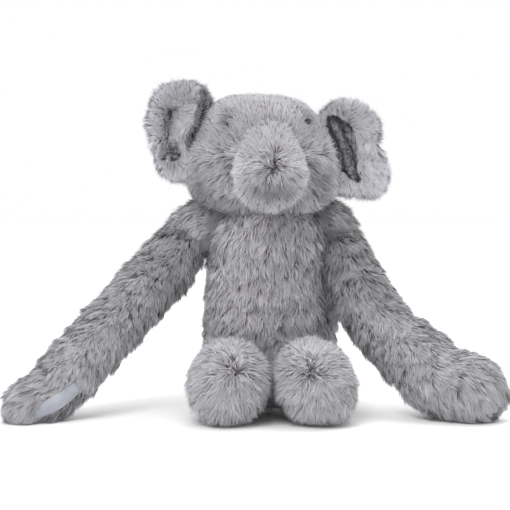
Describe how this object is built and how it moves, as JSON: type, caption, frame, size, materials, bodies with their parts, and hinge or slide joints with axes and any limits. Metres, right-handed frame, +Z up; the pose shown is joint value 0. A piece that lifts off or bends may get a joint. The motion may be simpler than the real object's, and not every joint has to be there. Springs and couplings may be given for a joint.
{
  "type": "stuffed elephant",
  "caption": "Sitting long-pile plush elephant with long arms, cupped ears and a short trunk; head, trunk, ears, arms, legs and tail move at their seams.",
  "frame": {"origin": "on the seat, under the middle of the torso", "axes": "+Z up, the face looks along -Y, +X to the toy's own left"},
  "size_m": [0.4574, 0.276, 0.3172],
  "materials": {
    "long_pile": "long shaggy pile, pale at the tips and brownish at the roots",
    "ear_lining": "short charcoal pile",
    "palm_cloth": "short smooth pile",
    "stuffing": "loose polyester fibre",
    "bag_cloth": "plain woven bag of plastic pellets",
    "eye_bead": "glossy black",
    "lock_washer": "moulded white plastic",
    "label_tape": "blank satin tape"
  },
  "bodies": {
    "torso": {"torso_skin": "long_pile", "torso_fill": "stuffing", "pellet_bag": "bag_cloth", "care_label": "label_tape"},
    "neck_ring": {"neck_seam_ring": "long_pile"},
    "head": {"head_skin": "long_pile", "head_fill": "stuffing", "right_eye": "eye_bead", "left_eye": "eye_bead", "right_eye_washer": "lock_washer", "left_eye_washer": "lock_washer"},
    "trunk_base": {"trunk_base_skin": "long_pile", "trunk_base_fill": "stuffing"},
    "trunk_tip": {"trunk_tip_skin": "long_pile", "trunk_tip_fill": "stuffing"},
    "tail": {"tail": "long_pile"},
    "right_ear": {"right_ear_back": "long_pile", "right_ear_lining": "ear_lining"},
    "right_shoulder_ring": {"right_shoulder_seam_ring": "long_pile"},
    "right_upper_arm": {"right_upper_arm_skin": "long_pile", "right_upper_arm_fill": "stuffing"},
    "right_forearm": {"right_forearm_skin": "long_pile", "right_forearm_fill": "stuffing", "right_palm_patch": "palm_cloth"},
    "right_hip_ring": {"right_hip_seam_ring": "long_pile"},
    "right_leg": {"right_leg_skin": "long_pile", "right_leg_fill": "stuffing"},
    "left_ear": {"left_ear_back": "long_pile", "left_ear_lining": "ear_lining"},
    "left_shoulder_ring": {"left_shoulder_seam_ring": "long_pile"},
    "left_upper_arm": {"left_upper_arm_skin": "long_pile", "left_upper_arm_fill": "stuffing"},
    "left_forearm": {"left_forearm_skin": "long_pile", "left_forearm_fill": "stuffing", "left_palm_patch": "palm_cloth"},
    "left_hip_ring": {"left_hip_seam_ring": "long_pile"},
    "left_leg": {"left_leg_skin": "long_pile", "left_leg_fill": "stuffing"}
  },
  "joints": [
    {"name": "neck_turn", "type": "hinge", "parent": "torso", "child": "neck_ring", "pos_m": [0, 0, 0.19], "axis": [0, 0, 1], "range_deg": [-40, 40]},
    {"name": "head_nod", "type": "hinge", "parent": "neck_ring", "child": "head", "pos_m": [0, 0, 0.19], "axis": [1, 0, 0], "range_deg": [-12, 12]},
    {"name": "trunk_lift", "type": "hinge", "parent": "head", "child": "trunk_base", "pos_m": [0, -0.073, 0.252], "axis": [1, 0, 0], "range_deg": [-25, 15]},
    {"name": "trunk_curl", "type": "hinge", "parent": "trunk_base", "child": "trunk_tip", "pos_m": [0, -0.108, 0.238], "axis": [1, 0, 0], "range_deg": [-35, 25]},
    {"name": "right_ear_flap", "type": "hinge", "parent": "head", "child": "right_ear", "pos_m": [-0.0665, -0.014, 0.268], "axis": [0, 0, 1], "range_deg": [-20, 25]},
    {"name": "right_shoulder_swing", "type": "hinge", "parent": "torso", "child": "right_shoulder_ring", "pos_m": [-0.0755, 0, 0.165], "axis": [-1, 0, 0], "range_deg": [-15, 60]},
    {"name": "right_shoulder_spread", "type": "hinge", "parent": "right_shoulder_ring", "child": "right_upper_arm", "pos_m": [-0.0755, 0, 0.165], "axis": [0, 1, 0], "range_deg": [-2, 40]},
    {"name": "right_elbow_bend", "type": "hinge", "parent": "right_upper_arm", "child": "right_forearm", "pos_m": [-0.133, -0.054, 0.107], "axis": [-0.6187, 0.7856, 0], "range_deg": [-5, 40]},
    {"name": "right_hip_spread", "type": "hinge", "parent": "torso", "child": "right_hip_ring", "pos_m": [-0.0385, -0.052, 0.042], "axis": [0, 0, -1], "range_deg": [0, 28]},
    {"name": "right_hip_flex", "type": "hinge", "parent": "right_hip_ring", "child": "right_leg", "pos_m": [-0.0385, -0.052, 0.042], "axis": [1, 0, 0], "range_deg": [-12, 55]},
    {"name": "left_ear_flap", "type": "hinge", "parent": "head", "child": "left_ear", "pos_m": [0.0635, -0.01, 0.252], "axis": [0, 0, -1], "range_deg": [-20, 25]},
    {"name": "left_shoulder_swing", "type": "hinge", "parent": "torso", "child": "left_shoulder_ring", "pos_m": [0.0755, 0, 0.165], "axis": [-1, 0, 0], "range_deg": [-15, 60]},
    {"name": "left_shoulder_spread", "type": "hinge", "parent": "left_shoulder_ring", "child": "left_upper_arm", "pos_m": [0.0755, 0, 0.165], "axis": [0, -1, 0], "range_deg": [-2, 40]},
    {"name": "left_elbow_bend", "type": "hinge", "parent": "left_upper_arm", "child": "left_forearm", "pos_m": [0.101, -0.053, 0.099], "axis": [-0.0581, -0.7892, 0.6113], "range_deg": [-27, 18]},
    {"name": "left_hip_spread", "type": "hinge", "parent": "torso", "child": "left_hip_ring", "pos_m": [0.0385, -0.052, 0.042], "axis": [0, 0, 1], "range_deg": [0, 28]},
    {"name": "left_hip_flex", "type": "hinge", "parent": "left_hip_ring", "child": "left_leg", "pos_m": [0.0385, -0.052, 0.042], "axis": [1, 0, 0], "range_deg": [-12, 55]},
    {"name": "tail_swing", "type": "hinge", "parent": "torso", "child": "tail", "pos_m": [0, 0.056, 0.04], "axis": [0, 0, 1], "range_deg": [-25, 25]}
  ]
}
